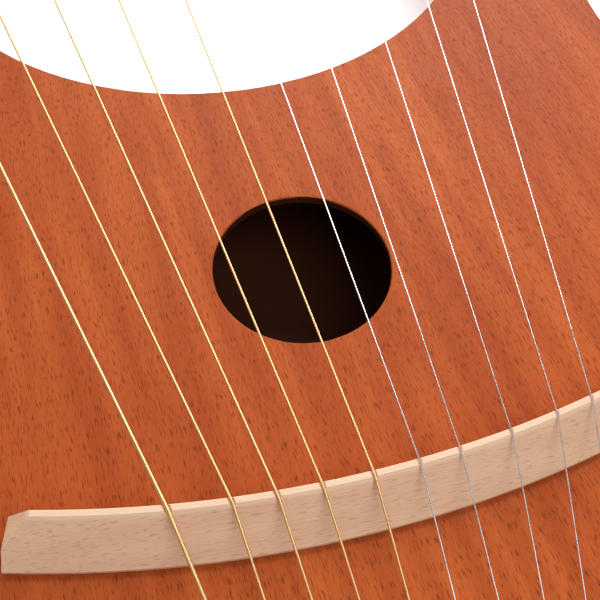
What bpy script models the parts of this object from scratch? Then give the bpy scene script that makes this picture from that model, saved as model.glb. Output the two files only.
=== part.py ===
"""Lyre harp with ten metal strings.

A hollow mahogany body with two arms, a slanted yoke that holds ten tuning pins, a curved beech
bridge, and strings that run from ball ends in the tail over the bridge and a nut to their pins.

The origin is on the flat back, under the centre of the sound hole. +X points to the treble side,
+Y to the yoke and +Z out of the soundboard. Sizes are in metres and angles in degrees.
"""

import math

import bmesh
import bpy
from mathutils import Matrix, Vector

# Clearances
GLUE_LINE = 0.0003
STRING_CLEARANCE = 0.0003
DRIVEN_CLEARANCE = 0.0003

# Body: two plates on a core of four blocks
PLATE_THICKNESS = 0.0022
CORE_THICKNESS = 0.028
PLATE_EDGE_ROUND = 0.0008
SOUND_HOLE_RADIUS = 0.020
BOWL_HALF_WIDTH = 0.112
BOWL_WIDEST_Y = -0.008
TAIL_Y = -0.113
WAIST_HALF_WIDTH = 0.103
WAIST_Y = 0.066
RIM_WIDTH = 0.011
TAIL_WALL = 0.033
SHOULDER_WALL = 0.015
BLOCK_HALF_WIDTH = 0.046

# Opening between the arms: an arc at the bottom, then two arms that flare out
OPENING_X = 0.0017
OPENING_Y = 0.1404
OPENING_RADIUS = 0.0823
BASS_FLARE = 22.0
TREBLE_FLARE = 12.0
ARM_TOP_WIDTH = 0.031

# Yoke and nut, measured from the line of the nut: along it, and square to it
NUT_Y = 0.182
YOKE_TILT = -9.6
YOKE_BELOW_NUT = 0.009
YOKE_CREST = 0.034
YOKE_END_HEIGHT = 0.029
YOKE_OVERHANG = 0.006
YOKE_EDGE_ROUND = 0.0025
NUT_WIDTH = 0.005
NUT_HEIGHT = 0.008
NUT_END = 0.009
DOWEL_RADIUS = 0.003
DOWEL_LENGTH = 0.030
DOWEL_SPACING = 0.010

# Bridge: a wedge along an arc, with a narrow crown
BRIDGE_ARC_X = -0.0025
BRIDGE_ARC_RADIUS = 0.2385
BRIDGE_CROWN_Y = -0.0528
BRIDGE_CROWN_HEIGHT = 0.008
BRIDGE_CROWN_WIDTH = 0.0012
BRIDGE_WIDTH = 0.0091
BRIDGE_LIP = 0.0009
BRIDGE_HALF_LENGTH = 0.064
BRIDGE_END_SLOPE = 40.0

# Braces inside the sound box
BRACE_WIDTH = 0.006
BRACE_HEIGHT = 0.009
BRACE_END_HEIGHT = 0.003
BRACE_END_GAP = 0.0015
UPPER_BRACE_Y = 0.0305
LOWER_BRACE_Y = -0.031
BACK_BRACE_Y = -0.012
BRIDGE_PLATE_THICKNESS = 0.0025
BRIDGE_PLATE_WIDTH = 0.018
BRIDGE_PLATE_LENGTH = 0.116

# String holes in the tail
TAIL_HOLE_FIRST_X = -0.0295
TAIL_HOLE_PITCH = 0.0073
TAIL_HOLE_OFFSET = 0.0357
TAIL_HOLE_SLOPE = 30.0
TAIL_HOLE_CLEARANCE = 0.0005
TAIL_HOLE_RUN = 0.0165
STRING_LIFT = 0.0006
BALL_RADIUS = 0.0018
BALL_CLEARANCE = 0.0005

# Tuning pins and the turns of string on them
PIN_RADIUS = 0.0025
PIN_LENGTH = 0.040
PIN_EYE_HEIGHT = 0.0285
PIN_EYE_RADIUS = 0.0008
PIN_HEAD_LENGTH = 0.009
PIN_HEAD_SIDE = 0.0042
PIN_HEAD_TAPER = 0.0005
PIN_ROW = 0.018
STRING_TURNS = 2.75
TURN_GAP = 0.00065
POINTS_A_TURN = 12
NUT_DROP = 0.0022

# Strings from bass to treble: gauge, place across the bridge (x), place along the nut, finish
STRINGS = (
    (0.00080, -0.0376, -0.1070, "bronze"),
    (0.00058, -0.0263, -0.0837, "bronze"),
    (0.00058, -0.0182, -0.0625, "bronze"),
    (0.00052, -0.0099, -0.0403, "bronze"),
    (0.00052, -0.0003, -0.0175, "bronze"),
    (0.00034, 0.0085, 0.0051, "steel"),
    (0.00030, 0.0165, 0.0260, "steel"),
    (0.00029, 0.0271, 0.0479, "steel"),
    (0.00028, 0.0370, 0.0668, "steel"),
    (0.00027, 0.0448, 0.0838, "steel"),
)

# Colour, roughness and metallic of each finish
FINISHES = {
    "mahogany": ((0.42, 0.11, 0.042, 1.0), 0.45, 0.0),
    "mahogany_core": ((0.33, 0.085, 0.035, 1.0), 0.5, 0.0),
    "beech": ((0.62, 0.37, 0.22, 1.0), 0.55, 0.0),
    "spruce": ((0.70, 0.50, 0.28, 1.0), 0.65, 0.0),
    "bronze": ((0.80, 0.50, 0.20, 1.0), 0.3, 1.0),
    "steel": ((0.72, 0.72, 0.73, 1.0), 0.22, 1.0),
    "nickel": ((0.66, 0.64, 0.60, 1.0), 0.25, 1.0),
}

# Levels
CORE_LOW = PLATE_THICKNESS + GLUE_LINE
CORE_HIGH = CORE_LOW + CORE_THICKNESS
SOUNDBOARD_LOW = CORE_HIGH + GLUE_LINE
BODY_TOP = SOUNDBOARD_LOW + PLATE_THICKNESS
STRING_LEVEL = BODY_TOP + BRIDGE_CROWN_HEIGHT

# How finely curves are drawn
BOWL_STEPS = 20
FLANK_STEPS = 8
OPENING_STEPS = 40
SOUND_HOLE_STEPS = 64
BRIDGE_STEPS = 28
FULLNESS = 1.15
WELD = 1e-6


# Outlines


def heading(angle):
    """Unit vector in the plan that points along this angle, counted from +X."""
    return Vector((math.cos(math.radians(angle)), math.sin(math.radians(angle))))


def flowing(stations, steps, fullness=FULLNESS):
    """Points of a smooth line through stations (point, heading), without the last one.

    steps holds the number of points for each stretch.
    """
    points = []
    for (start, out), (end, into), count in zip(stations, stations[1:], steps):
        reach = (end - start).length * fullness
        leave, arrive = heading(out) * reach, heading(into) * reach
        for step in range(count):
            t = step / count
            points.append(
                start * (2 * t**3 - 3 * t**2 + 1)
                + leave * (t**3 - 2 * t**2 + t)
                + end * (3 * t**2 - 2 * t**3)
                + arrive * (t**3 - t**2)
            )
    return points


def arc(centre, radius, first, last, steps):
    """Points of an arc from angle first to angle last, both ends included."""
    return [
        centre + heading(first + (last - first) * step / steps) * radius
        for step in range(steps + 1)
    ]


def on_yoke(along, across):
    """Plan point measured from the middle of the nut, along it and square to it."""
    origin = Vector((0.0, NUT_Y))
    return origin + heading(YOKE_TILT) * along + heading(YOKE_TILT + 90.0) * across


def yoke_place(point):
    """How far a plan point lies along the nut, and square to it."""
    offset = point - Vector((0.0, NUT_Y))
    return offset.dot(heading(YOKE_TILT)), offset.dot(heading(YOKE_TILT + 90.0))


def meet_yoke(point, direction, across):
    """Where a plan line reaches the line that lies this far from the nut."""
    normal = heading(YOKE_TILT + 90.0)
    travel = (across - yoke_place(point)[1]) / direction.dot(normal)
    return point + direction * travel


def opening_centre():
    return Vector((OPENING_X, OPENING_Y))


def arm_tops():
    """Bass inner, bass outer, treble inner and treble outer corner of the arms under the yoke."""
    across = -YOKE_BELOW_NUT - GLUE_LINE
    centre = opening_centre()
    bass_way, treble_way = heading(90.0 + BASS_FLARE), heading(90.0 - TREBLE_FLARE)
    bass_foot = centre + heading(180.0 + BASS_FLARE) * OPENING_RADIUS
    treble_foot = centre + heading(-TREBLE_FLARE) * OPENING_RADIUS
    bass = meet_yoke(bass_foot, bass_way, across)
    treble = meet_yoke(treble_foot, treble_way, across)
    width = heading(YOKE_TILT) * ARM_TOP_WIDTH
    return bass, bass - width, treble, treble + width


def body_outline():
    """The body with its arms, against the clock from the bass arm's outer corner."""
    bass_inner, bass_outer, treble_inner, treble_outer = arm_tops()
    stations = (
        (bass_outer, BASS_FLARE - 90.0),
        (Vector((-WAIST_HALF_WIDTH, WAIST_Y)), -90.0),
        (Vector((-BOWL_HALF_WIDTH, BOWL_WIDEST_Y)), -90.0),
        (Vector((0.0, TAIL_Y)), 0.0),
        (Vector((BOWL_HALF_WIDTH, BOWL_WIDEST_Y)), 90.0),
        (Vector((WAIST_HALF_WIDTH, WAIST_Y)), 90.0),
        (treble_outer, 90.0 - TREBLE_FLARE),
    )
    steps = (FLANK_STEPS, FLANK_STEPS, BOWL_STEPS, BOWL_STEPS, FLANK_STEPS, FLANK_STEPS)
    outer = flowing(stations, steps) + [treble_outer]
    first, last = -TREBLE_FLARE, -180.0 + BASS_FLARE
    bottom = arc(opening_centre(), OPENING_RADIUS, first, last, OPENING_STEPS)
    return outer + [treble_inner] + bottom + [bass_inner]


def chamber_outline():
    """The hollow of the sound box, against the clock from its widest bass point."""
    side = BOWL_HALF_WIDTH - RIM_WIDTH
    corner = WAIST_HALF_WIDTH - RIM_WIDTH - 0.008
    wall_radius = OPENING_RADIUS + SHOULDER_WALL
    wall_sweep = 35.0
    top = arc(opening_centre(), wall_radius, -90.0 + wall_sweep, -90.0 - wall_sweep, BOWL_STEPS)
    bowl = (
        (Vector((-side, BOWL_WIDEST_Y)), -90.0),
        (Vector((0.0, TAIL_Y + TAIL_WALL)), 0.0),
        (Vector((side, BOWL_WIDEST_Y)), 90.0),
        (Vector((corner, WAIST_Y - 0.002)), 150.0),
        (top[0], 180.0 + wall_sweep),
    )
    lobe = (
        (top[-1], 180.0 - wall_sweep),
        (Vector((-corner, WAIST_Y - 0.002)), 210.0),
        (Vector((-side, BOWL_WIDEST_Y)), 270.0),
    )
    return (
        flowing(bowl, (BOWL_STEPS, BOWL_STEPS, FLANK_STEPS, FLANK_STEPS), 1.0)
        + top[:-1]
        + flowing(lobe, (FLANK_STEPS, FLANK_STEPS), 1.0)
    )


def chamber_half_width(y):
    """How far the chamber reaches from the middle on its narrower side at this y."""
    outline = chamber_outline()
    crossings = []
    for a, b in zip(outline, outline[1:] + outline[:1]):
        if (a.y - y) * (b.y - y) < 0:
            crossings.append(a.x + (b.x - a.x) * (y - a.y) / (b.y - a.y))
    return min(max(crossings), -min(crossings))


# Strings


def bridge_centre():
    return Vector((BRIDGE_ARC_X, BRIDGE_CROWN_Y + BRIDGE_ARC_RADIUS))


def on_bridge_arc(x, radius):
    """Plan point at this x on an arc about the bridge's centre, on its tail side."""
    centre = bridge_centre()
    return Vector((x, centre.y - math.sqrt(radius**2 - (x - centre.x) ** 2)))


class StringRun:
    """The places that one string passes, from its ball end to its tuning pin."""

    def __init__(self, number, gauge, bridge_x, nut_place, finish):
        self.number = number
        self.gauge = gauge
        self.finish = finish
        crown_radius = BRIDGE_ARC_RADIUS + BRIDGE_CROWN_WIDTH
        entry_x = TAIL_HOLE_FIRST_X + TAIL_HOLE_PITCH * (number - 1)
        self.crown = on_bridge_arc(bridge_x, crown_radius).to_3d()
        self.nut = on_yoke(nut_place, 0.0).to_3d()
        self.entry = on_bridge_arc(entry_x, crown_radius + TAIL_HOLE_OFFSET).to_3d()
        self.crown.z = self.nut.z = STRING_LEVEL
        self.entry.z = BODY_TOP + STRING_LIFT
        self.way = (self.nut - self.crown).normalized()
        tailward = (self.entry - self.crown).to_2d().normalized().to_3d()
        slope = math.radians(TAIL_HOLE_SLOPE)
        self.drill_way = tailward * math.cos(slope) - Vector((0.0, 0.0, math.sin(slope)))
        self.seat = self.entry + self.drill_way * TAIL_HOLE_RUN
        self.pitch = gauge + TURN_GAP
        bare = PIN_RADIUS + STRING_CLEARANCE + gauge / 2
        self.turn_radius = bare / math.cos(math.pi / POINTS_A_TURN)
        self.touch = meet_yoke(self.nut.to_2d(), self.way.to_2d(), PIN_ROW).to_3d()
        self.touch.z = STRING_LEVEL - NUT_DROP
        left = Vector((-self.way.y, self.way.x, 0.0))
        self.pin = self.touch + left * self.turn_radius
        self.first_angle = math.degrees(math.atan2(-left.y, -left.x))
        self.eye_angle = self.first_angle + 360.0 * STRING_TURNS
        self.eye_level = self.touch.z + self.pitch * STRING_TURNS
        self.pin_foot = self.eye_level - PIN_EYE_HEIGHT

    def turns(self):
        """Points of the winding, from where the string meets the pin up to the pin's eye."""
        count = round(STRING_TURNS * POINTS_A_TURN)
        points = []
        for step in range(count + 1):
            share = step / count
            angle = self.first_angle + 360.0 * STRING_TURNS * share
            point = (self.pin.to_2d() + heading(angle) * self.turn_radius).to_3d()
            point.z = self.touch.z + self.pitch * STRING_TURNS * share
            points.append(point)
        return points

    def ball(self):
        """Points and radii of the bead at the string's end, from its far side to its seat."""
        middle = self.seat + self.drill_way * (BALL_RADIUS + STRING_CLEARANCE)
        places = (0.95, 0.7, 0.3, -0.3, -0.7, -0.95)
        points = [middle + self.drill_way * (BALL_RADIUS * place) for place in places]
        radii = [BALL_RADIUS * math.sqrt(1 - place**2) for place in places]
        return points, radii

    def route(self):
        """All points of the string, with the tube's radius at each."""
        points, radii = self.ball()
        plain = [self.seat, self.entry, self.crown, self.nut] + self.turns()
        return points + plain, radii + [self.gauge / 2] * len(plain)


def least_gap(points, gauge, step=0.0004):
    """The smallest clear space between stretches of the winding that aren't neighbours."""
    dense = []
    for a, b in zip(points, points[1:]):
        count = max(1, math.ceil((b - a).length / step))
        dense += [a.lerp(b, part / count) for part in range(count)]
    apart = round(math.pi * 2 * PIN_RADIUS / step * 0.5)
    nearest = min(
        (dense[i] - dense[j]).length
        for i in range(len(dense))
        for j in range(i + apart, len(dense))
    )
    return nearest - gauge


# Scene


def clear_scene():
    for obj in list(bpy.data.objects):
        bpy.data.objects.remove(obj)


def new_collection(name, parent):
    made = bpy.data.collections.new(name)
    parent.children.link(made)
    return made


def dress(obj, finish):
    """Gives the object its own material."""
    colour, roughness, metallic = FINISHES[finish]
    material = bpy.data.materials.new(obj.name)
    material.use_nodes = True
    shader = material.node_tree.nodes["Principled BSDF"]
    shader.inputs["Base Color"].default_value = colour
    shader.inputs["Roughness"].default_value = roughness
    shader.inputs["Metallic"].default_value = metallic
    material.diffuse_color = colour
    obj.data.materials.clear()
    obj.data.materials.append(material)


def weld(mesh):
    """Joins caps to sides and turns all faces out."""
    work = bmesh.new()
    work.from_mesh(mesh)
    bmesh.ops.remove_doubles(work, verts=work.verts, dist=WELD)
    bmesh.ops.recalc_face_normals(work, faces=work.faces)
    work.to_mesh(mesh)
    work.free()


def finished_mesh(obj):
    """The object's mesh with its modifiers done; the object itself is removed."""
    bpy.context.view_layer.update()
    graph = bpy.context.evaluated_depsgraph_get()
    mesh = bpy.data.meshes.new_from_object(obj.evaluated_get(graph))
    weld(mesh)
    bpy.data.objects.remove(obj)
    return mesh


def add_object(name, data, place, matrix=None):
    obj = bpy.data.objects.new(name, data)
    obj.matrix_world = matrix or Matrix.Identity(4)
    place.objects.link(obj)
    return obj


def as_cutter(obj):
    obj.hide_render = True
    obj.display_type = "WIRE"
    return obj


def flat_solid(name, loops, thickness, place, matrix):
    """A flat outline with holes, given thickness about its own plane."""
    curve = bpy.data.curves.new(name, "CURVE")
    curve.dimensions = "2D"
    curve.fill_mode = "BOTH"
    curve.extrude = thickness / 2
    for loop in loops:
        spline = curve.splines.new("POLY")
        spline.points.add(len(loop) - 1)
        for point, place_in_plan in zip(spline.points, loop):
            point.co = (place_in_plan.x, place_in_plan.y, 0.0, 1.0)
        spline.use_cyclic_u = True
    mesh = finished_mesh(add_object(name, curve, place))
    bpy.data.curves.remove(curve)
    return add_object(name, mesh, place, matrix)


def slab(name, loops, low, high, place):
    """A flat outline between two levels."""
    middle = Matrix.Translation((0.0, 0.0, (low + high) / 2))
    return flat_solid(name, loops, high - low, place, middle)


def turned(name, profile, steps, place, matrix=None):
    """A solid of revolution about Z. The profile runs down its outer side, from axis to axis."""
    mesh = bpy.data.meshes.new(name)
    points = [(radius, 0.0, level) for radius, level in profile]
    mesh.from_pydata(points, [(i, i + 1) for i in range(len(points) - 1)], [])
    obj = add_object(name, mesh, place)
    screw = obj.modifiers.new("turn", "SCREW")
    screw.steps = screw.render_steps = steps
    screw.use_merge_vertices = True
    screw.merge_threshold = WELD
    solid = finished_mesh(obj)
    solid.shade_smooth()
    solid.set_sharp_from_angle(angle=math.radians(35))
    return add_object(name, solid, place, matrix)


def spun(name, profile, centre, first, sweep, steps, place):
    """A section of (radius, level) points swept about a vertical axis."""
    work = bmesh.new()
    start = heading(first)
    corners = [
        work.verts.new((centre + start * radius).to_3d() + Vector((0.0, 0.0, level)))
        for radius, level in profile
    ]
    face = work.faces.new(corners)
    bmesh.ops.spin(
        work,
        geom=[*face.verts, *face.edges, face],
        cent=centre.to_3d(),
        axis=(0.0, 0.0, 1.0),
        angle=math.radians(sweep),
        steps=steps,
    )
    bmesh.ops.recalc_face_normals(work, faces=work.faces)
    mesh = bpy.data.meshes.new(name)
    work.to_mesh(mesh)
    work.free()
    return add_object(name, mesh, place)


def aimed(point, way):
    """Matrix that puts +Z of a piece along a way, from a point."""
    return Matrix.Translation(point) @ way.to_track_quat("Z", "Y").to_matrix().to_4x4()


def box(name, low, high, place):
    """A block between two corners."""
    work = bmesh.new()
    low, high = Vector(low), Vector(high)
    bmesh.ops.create_cube(work, size=1.0)
    bmesh.ops.scale(work, vec=high - low, verts=work.verts)
    bmesh.ops.translate(work, vec=(low + high) / 2, verts=work.verts)
    mesh = bpy.data.meshes.new(name)
    work.to_mesh(mesh)
    work.free()
    return add_object(name, mesh, place)


def boolean(obj, operation, cutter):
    """Cuts with, keeps or joins an object, or all objects of a collection."""
    modifier = obj.modifiers.new(operation.lower(), "BOOLEAN")
    modifier.operation = operation
    modifier.solver = "EXACT"
    if isinstance(cutter, bpy.types.Collection):
        modifier.operand_type = "COLLECTION"
        modifier.collection = cutter
    else:
        modifier.object = cutter


def round_edges(obj, width, segments, level=None):
    """Rounds an outline's edges, all of them or those at one level of the object."""
    work = bmesh.new()
    work.from_mesh(obj.data)
    weight = work.edges.layers.float.new("bevel_weight_edge")
    for edge in work.edges:
        flat = abs(edge.verts[0].co.z - edge.verts[1].co.z) < WELD
        turn = len(edge.link_faces) == 2 and edge.calc_face_angle() > math.radians(60)
        here = level is None or abs(edge.verts[0].co.z - level) < WELD
        edge[weight] = 1.0 if flat and turn and here else 0.0
    work.to_mesh(obj.data)
    work.free()
    bevel = obj.modifiers.new("round", "BEVEL")
    bevel.limit_method = "WEIGHT"
    bevel.width = width
    bevel.segments = segments


# Pieces


def build_plates(place, drills):
    """The soundboard with its sound hole and string holes, and the back."""
    hole = arc(Vector((0.0, 0.0)), SOUND_HOLE_RADIUS, 0.0, 360.0, SOUND_HOLE_STEPS)[:-1]
    soundboard = slab(
        "soundboard", [body_outline(), hole], SOUNDBOARD_LOW, BODY_TOP, place
    )
    round_edges(soundboard, PLATE_EDGE_ROUND, 2, PLATE_THICKNESS / 2)
    boolean(soundboard, "DIFFERENCE", drills)
    dress(soundboard, "mahogany")
    back = slab("back_plate", [body_outline()], 0.0, PLATE_THICKNESS, place)
    round_edges(back, PLATE_EDGE_ROUND, 1, -PLATE_THICKNESS / 2)
    dress(back, "mahogany")


def build_core(place, cutters, drills, dowel_holes):
    """The four blocks between the plates: bass side, treble side, tail and shoulder."""
    far = BOWL_HALF_WIDTH + OPENING_Y + OPENING_RADIUS
    seam, edge = BLOCK_HALF_WIDTH, BLOCK_HALF_WIDTH + GLUE_LINE
    bottom, top = 0.0, BODY_TOP
    blocks = {
        "bass_side": ((-far, -far, bottom), (-edge, far, top)),
        "treble_side": ((edge, -far, bottom), (far, far, top)),
        "tail_block": ((-seam, -far, bottom), (seam, 0.0, top)),
        "shoulder_block": ((-seam, 0.0, bottom), (seam, far, top)),
    }
    for name, (low, high) in blocks.items():
        block = slab(name, [body_outline(), chamber_outline()], CORE_LOW, CORE_HIGH, place)
        region = as_cutter(box(name + "_region", low, high, cutters))
        boolean(block, "INTERSECT", region)
        if name == "tail_block":
            boolean(block, "DIFFERENCE", drills)
        if name.endswith("side"):
            boolean(block, "DIFFERENCE", dowel_holes)
        dress(block, "mahogany_core")


def brace_profile(length):
    """Side view of a brace: full height in the middle, scooped down to thin ends."""
    half, scoop = length / 2, length / 5
    return [
        Vector((-half, 0.0)),
        Vector((half, 0.0)),
        *flowing(
            (
                (Vector((half, BRACE_END_HEIGHT)), 180.0),
                (Vector((half - scoop, BRACE_HEIGHT)), 180.0),
            ),
            (6,),
        ),
        *flowing(
            (
                (Vector((scoop - half, BRACE_HEIGHT)), 180.0),
                (Vector((-half, BRACE_END_HEIGHT)), 180.0),
            ),
            (6,),
        ),
        Vector((-half, BRACE_END_HEIGHT)),
    ]


def build_braces(place):
    """Two braces and the bridge plate under the soundboard, and one brace on the back."""
    under = SOUNDBOARD_LOW - GLUE_LINE
    for name, y, level, turn in (
        ("upper_brace", UPPER_BRACE_Y, under, -90.0),
        ("lower_brace", LOWER_BRACE_Y, under, -90.0),
        ("back_brace", BACK_BRACE_Y, CORE_LOW, 90.0),
    ):
        narrowest = min(
            chamber_half_width(y - BRACE_WIDTH / 2), chamber_half_width(y + BRACE_WIDTH / 2)
        )
        length = 2 * (narrowest - BRACE_END_GAP)
        stand = Matrix.Translation((0.0, y, level)) @ Matrix.Rotation(
            math.radians(turn), 4, "X"
        )
        brace = flat_solid(name, [brace_profile(length)], BRACE_WIDTH, place, stand)
        dress(brace, "spruce")
    half_length, half_width = BRIDGE_PLATE_LENGTH / 2, BRIDGE_PLATE_WIDTH / 2
    middle = BRIDGE_CROWN_Y
    plate = box(
        "bridge_plate",
        (-half_length, middle - half_width, under - BRIDGE_PLATE_THICKNESS),
        (half_length, middle + half_width, under),
        place,
    )
    dress(plate, "beech")


def build_yoke(place, pin_holes, dowel_holes):
    """The slanted bar over the arms, drilled for pins and dowels."""
    bass_end = yoke_place(arm_tops()[1])[0]
    treble_end = yoke_place(arm_tops()[3])[0]
    low = -YOKE_BELOW_NUT
    waist = (YOKE_END_HEIGHT + low) / 2
    left, right = bass_end - YOKE_OVERHANG, treble_end + YOKE_OVERHANG
    stations = (
        (Vector((treble_end - YOKE_OVERHANG / 2, low)), 0.0),
        (Vector((right, waist)), 90.0),
        (Vector((right - YOKE_END_HEIGHT / 2, YOKE_END_HEIGHT)), 176.0),
        (Vector((0.0, YOKE_CREST)), 180.0),
        (Vector((left + YOKE_END_HEIGHT / 2, YOKE_END_HEIGHT)), 184.0),
        (Vector((left, waist)), 270.0),
        (Vector((bass_end + YOKE_OVERHANG / 2, low)), 360.0),
    )
    local = flowing(stations, (7, 7, 12, 12, 7, 7), 1.0) + [stations[-1][0]]
    outline = [on_yoke(point.x, point.y) for point in local]
    yoke = slab("yoke", [outline], 0.0, BODY_TOP, place)
    round_edges(yoke, YOKE_EDGE_ROUND, 3)
    boolean(yoke, "DIFFERENCE", pin_holes)
    boolean(yoke, "DIFFERENCE", dowel_holes)
    dress(yoke, "mahogany")


def build_dowels(place, holes):
    """Two dowels in each arm's top, half in the arm and half in the yoke, and their holes."""
    bass_inner, bass_outer, treble_inner, treble_outer = arm_tops()
    level = (CORE_LOW + CORE_HIGH) / 2
    way = heading(YOKE_TILT + 90.0).to_3d()
    for side, inner, outer, lean in (
        ("bass", bass_inner, bass_outer, BASS_FLARE - YOKE_TILT),
        ("treble", treble_inner, treble_outer, -TREBLE_FLARE - YOKE_TILT),
    ):
        centring = math.tan(math.radians(lean)) * DOWEL_LENGTH / 4
        for number, shift in enumerate((-DOWEL_SPACING / 2, DOWEL_SPACING / 2), start=1):
            middle = (inner + outer) / 2 + heading(YOKE_TILT) * (shift + centring)
            middle += heading(YOKE_TILT + 90.0) * GLUE_LINE / 2
            matrix = aimed(middle.to_3d() + Vector((0.0, 0.0, level)), way)
            half = DOWEL_LENGTH / 2
            chamfer = DOWEL_RADIUS / 4
            profile = (
                (0.0, half),
                (DOWEL_RADIUS - chamfer, half),
                (DOWEL_RADIUS, half - chamfer),
                (DOWEL_RADIUS, chamfer - half),
                (DOWEL_RADIUS - chamfer, -half),
                (0.0, -half),
            )
            dowel = turned(f"{side}_dowel_{number}", profile, 14, place, matrix)
            dress(dowel, "beech")
            bore, reach = DOWEL_RADIUS + DRIVEN_CLEARANCE, half + DRIVEN_CLEARANCE
            hole = ((0.0, reach), (bore, reach), (bore, -reach), (0.0, -reach))
            as_cutter(turned(f"{side}_dowel_hole_{number}", hole, 14, holes, matrix))


def build_bridge(place, cutters, notches):
    """The curved wedge: steep towards the yoke, sloping towards the tail, notched at its crown."""
    base = BODY_TOP + GLUE_LINE
    crown = STRING_LEVEL
    front = BRIDGE_ARC_RADIUS
    break_edge = BRIDGE_CROWN_WIDTH / 4
    profile = (
        (front, base),
        (front, crown - break_edge),
        (front + break_edge, crown),
        (front + BRIDGE_CROWN_WIDTH, crown - break_edge / 2),
        (front + BRIDGE_WIDTH, base + BRIDGE_LIP),
        (front + BRIDGE_WIDTH, base),
    )
    half_sweep = math.degrees(BRIDGE_HALF_LENGTH / BRIDGE_ARC_RADIUS)
    bridge = spun(
        "bridge", profile, bridge_centre(), -90.0 - half_sweep, 2 * half_sweep, BRIDGE_STEPS, place
    )
    for side in (-1, 1):
        end = bridge_centre() + heading(-90.0 + side * half_sweep) * front
        along = heading(side * half_sweep) * side
        slope = math.radians(BRIDGE_END_SLOPE)
        lift = Vector((0.0, 0.0, base + BRIDGE_CROWN_HEIGHT * 0.45))
        way = along.to_3d() * math.sin(slope) + Vector((0.0, 0.0, math.cos(slope)))
        size = 4 * BRIDGE_WIDTH
        wedge = box(f"bridge_end_{side}", (-size, -size, 0.0), (size, size, size), cutters)
        wedge.matrix_world = aimed(end.to_3d() + lift, way)
        boolean(bridge, "DIFFERENCE", as_cutter(wedge))
    boolean(bridge, "DIFFERENCE", notches)
    dress(bridge, "beech")


def build_nut(place, notches):
    """A straight strip on the yoke with a round top, under all the strings."""
    half, base = NUT_WIDTH / 2, BODY_TOP + GLUE_LINE
    shoulder = BODY_TOP + NUT_HEIGHT - half
    round_top = [
        Vector((half * math.cos(math.pi * step / 8), shoulder + half * math.sin(math.pi * step / 8)))
        for step in range(9)
    ]
    profile = [Vector((-half, base)), Vector((half, base))] + round_top
    first = STRINGS[0][2] - NUT_END
    last = STRINGS[-1][2] + NUT_END
    middle = on_yoke((first + last) / 2, 0.0).to_3d()
    turn = Matrix.Rotation(math.radians(YOKE_TILT + 90.0), 4, "Z")
    stand = Matrix.Translation(middle) @ turn @ Matrix.Rotation(math.radians(90.0), 4, "X")
    nut = flat_solid("nut", [profile], last - first, place, stand)
    boolean(nut, "DIFFERENCE", notches)
    dress(nut, "beech")


def string_cutters(run, drills, pin_holes, bridge_notches, nut_notches):
    """The holes and notches that one string and its pin need."""
    steps = 10
    name = f"{run.number:02d}"
    bore = run.gauge / 2 + TAIL_HOLE_CLEARANCE
    pocket = BALL_RADIUS + BALL_CLEARANCE
    above, below = -0.006, TAIL_HOLE_RUN + 0.02
    drill = (
        (0.0, below),
        (pocket, below),
        (pocket, TAIL_HOLE_RUN),
        (bore, TAIL_HOLE_RUN),
        (bore, above),
        (0.0, above),
    )
    as_cutter(turned("drill_" + name, drill, steps, drills, aimed(run.entry, run.drill_way)))
    bore = PIN_RADIUS + DRIVEN_CLEARANCE
    floor = run.pin_foot - DRIVEN_CLEARANCE - BODY_TOP
    hole = ((0.0, -floor), (bore, -floor), (bore, floor), (0.0, floor))
    top = Matrix.Translation((run.pin.x, run.pin.y, BODY_TOP))
    as_cutter(turned("pin_hole_" + name, hole, 16, pin_holes, top))
    bore = run.gauge / 2 + STRING_CLEARANCE
    for notch_place, point, reach in (
        (bridge_notches, run.crown, 2 * BRIDGE_CROWN_WIDTH),
        (nut_notches, run.nut, NUT_WIDTH),
    ):
        file = ((0.0, reach), (bore, reach), (bore, -reach), (0.0, -reach))
        notch = turned(notch_place.name + "_" + name, file, steps, notch_place)
        notch.matrix_world = aimed(point, run.way)
        as_cutter(notch)


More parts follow.
